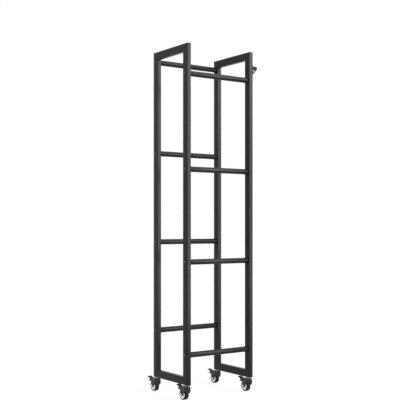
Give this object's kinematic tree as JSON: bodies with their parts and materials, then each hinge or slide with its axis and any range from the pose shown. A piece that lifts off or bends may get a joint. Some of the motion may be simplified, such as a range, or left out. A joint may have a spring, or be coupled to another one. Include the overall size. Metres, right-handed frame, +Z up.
{
  "type": "rolling crate rack",
  "caption": "Tall narrow rolling rack of black tube whose round cross bars hold drink crates at a tilt, with a bottle opener on a post and braked swivel casters.",
  "frame": {"origin": "on the floor, under the middle of the whole object's box", "axes": "+Z up, +Y from the front of the rack, where the crates tip out, to its back; +X to the right seen from the front"},
  "size_m": [0.4132, 0.34, 1.6],
  "materials": {
    "powder_coat": "matt black powder coat, fine texture",
    "black_steel": "blackened steel, satin",
    "cast_iron": "black painted casting",
    "zinc_steel": "bright zinc plate",
    "black_nickel": "dark glossy plate",
    "tyre": "black rubber",
    "white_plastic": "white moulded plastic",
    "black_plastic": "black moulded plastic"
  },
  "bodies": {
    "frame": {"post_front_left": "powder_coat", "post_front_right": "powder_coat", "post_rear_left": "powder_coat", "post_rear_right": "powder_coat", "top_rail_left": "powder_coat", "bottom_rail_left": "powder_coat", "top_rail_right": "powder_coat", "bottom_rail_right": "powder_coat", "front_bar_1": "powder_coat", "front_bar_2": "powder_coat", "front_bar_3": "powder_coat", "front_bar_4": "powder_coat", "rear_bar_1": "powder_coat", "rear_bar_2": "powder_coat", "rear_bar_3": "powder_coat", "rear_bar_4": "powder_coat", "front_bolt_1_left": "black_steel", "front_bolt_1_right": "black_steel", "front_bolt_2_left": "black_steel", "front_bolt_2_right": "black_steel", "front_bolt_3_left": "black_steel", "front_bolt_3_right": "black_steel", "front_bolt_4_left": "black_steel", "front_bolt_4_right": "black_steel", "rear_bolt_1_left": "black_steel", "rear_bolt_1_right": "black_steel", "rear_bolt_2_left": "black_steel", "rear_bolt_2_right": "black_steel", "rear_bolt_3_left": "black_steel", "rear_bolt_3_right": "black_steel", "rear_bolt_4_left": "black_steel", "rear_bolt_4_right": "black_steel", "bottle_opener": "cast_iron", "opener_screw_lower": "zinc_steel", "opener_screw_upper": "zinc_steel", "front_left_stem": "zinc_steel", "front_right_stem": "zinc_steel", "rear_left_stem": "zinc_steel", "rear_right_stem": "zinc_steel"},
    "front_left_swivel": {"front_left_fork": "black_nickel", "front_left_axle": "zinc_steel"},
    "front_left_wheel": {"front_left_tyre": "tyre", "front_left_hub": "white_plastic"},
    "front_left_pedal": {"front_left_brake_pedal": "black_plastic"},
    "front_right_swivel": {"front_right_fork": "black_nickel", "front_right_axle": "zinc_steel"},
    "front_right_wheel": {"front_right_tyre": "tyre", "front_right_hub": "white_plastic"},
    "front_right_pedal": {"front_right_brake_pedal": "black_plastic"},
    "rear_left_swivel": {"rear_left_fork": "black_nickel", "rear_left_axle": "zinc_steel"},
    "rear_left_wheel": {"rear_left_tyre": "tyre", "rear_left_hub": "white_plastic"},
    "rear_left_pedal": {"rear_left_brake_pedal": "black_plastic"},
    "rear_right_swivel": {"rear_right_fork": "black_nickel", "rear_right_axle": "zinc_steel"},
    "rear_right_wheel": {"rear_right_tyre": "tyre", "rear_right_hub": "white_plastic"},
    "rear_right_pedal": {"rear_right_brake_pedal": "black_plastic"}
  },
  "joints": [
    {"name": "front_left_swivel_turn", "type": "hinge", "parent": "frame", "child": "front_left_swivel", "pos_m": [-0.1899, -0.15225, 0.06539], "axis": [0, 0, 1], "continuous": true},
    {"name": "front_left_wheel_spin", "type": "hinge", "parent": "front_left_swivel", "child": "front_left_wheel", "pos_m": [-0.1899, -0.12925, 0.02479], "axis": [1, 0, 0], "continuous": true},
    {"name": "front_left_brake_press", "type": "hinge", "parent": "front_left_swivel", "child": "front_left_pedal", "pos_m": [-0.1899, -0.11825, 0.05249], "axis": [-1, 0, 0], "range_deg": [0, 13]},
    {"name": "front_right_swivel_turn", "type": "hinge", "parent": "frame", "child": "front_right_swivel", "pos_m": [0.1621, -0.15225, 0.06539], "axis": [0, 0, 1], "continuous": true},
    {"name": "front_right_wheel_spin", "type": "hinge", "parent": "front_right_swivel", "child": "front_right_wheel", "pos_m": [0.1621, -0.12925, 0.02479], "axis": [1, 0, 0], "continuous": true},
    {"name": "front_right_brake_press", "type": "hinge", "parent": "front_right_swivel", "child": "front_right_pedal", "pos_m": [0.1621, -0.11825, 0.05249], "axis": [-1, 0, 0], "range_deg": [0, 13]},
    {"name": "rear_left_swivel_turn", "type": "hinge", "parent": "frame", "child": "rear_left_swivel", "pos_m": [-0.1899, 0.09775, 0.06539], "axis": [0, 0, 1], "continuous": true},
    {"name": "rear_left_wheel_spin", "type": "hinge", "parent": "rear_left_swivel", "child": "rear_left_wheel", "pos_m": [-0.1899, 0.12075, 0.02479], "axis": [1, 0, 0], "continuous": true},
    {"name": "rear_left_brake_press", "type": "hinge", "parent": "rear_left_swivel", "child": "rear_left_pedal", "pos_m": [-0.1899, 0.13175, 0.05249], "axis": [-1, 0, 0], "range_deg": [0, 13]},
    {"name": "rear_right_swivel_turn", "type": "hinge", "parent": "frame", "child": "rear_right_swivel", "pos_m": [0.1621, 0.09775, 0.06539], "axis": [0, 0, 1], "continuous": true},
    {"name": "rear_right_wheel_spin", "type": "hinge", "parent": "rear_right_swivel", "child": "rear_right_wheel", "pos_m": [0.1621, 0.12075, 0.02479], "axis": [1, 0, 0], "continuous": true},
    {"name": "rear_right_brake_press", "type": "hinge", "parent": "rear_right_swivel", "child": "rear_right_pedal", "pos_m": [0.1621, 0.13175, 0.05249], "axis": [-1, 0, 0], "range_deg": [0, 13]}
  ]
}
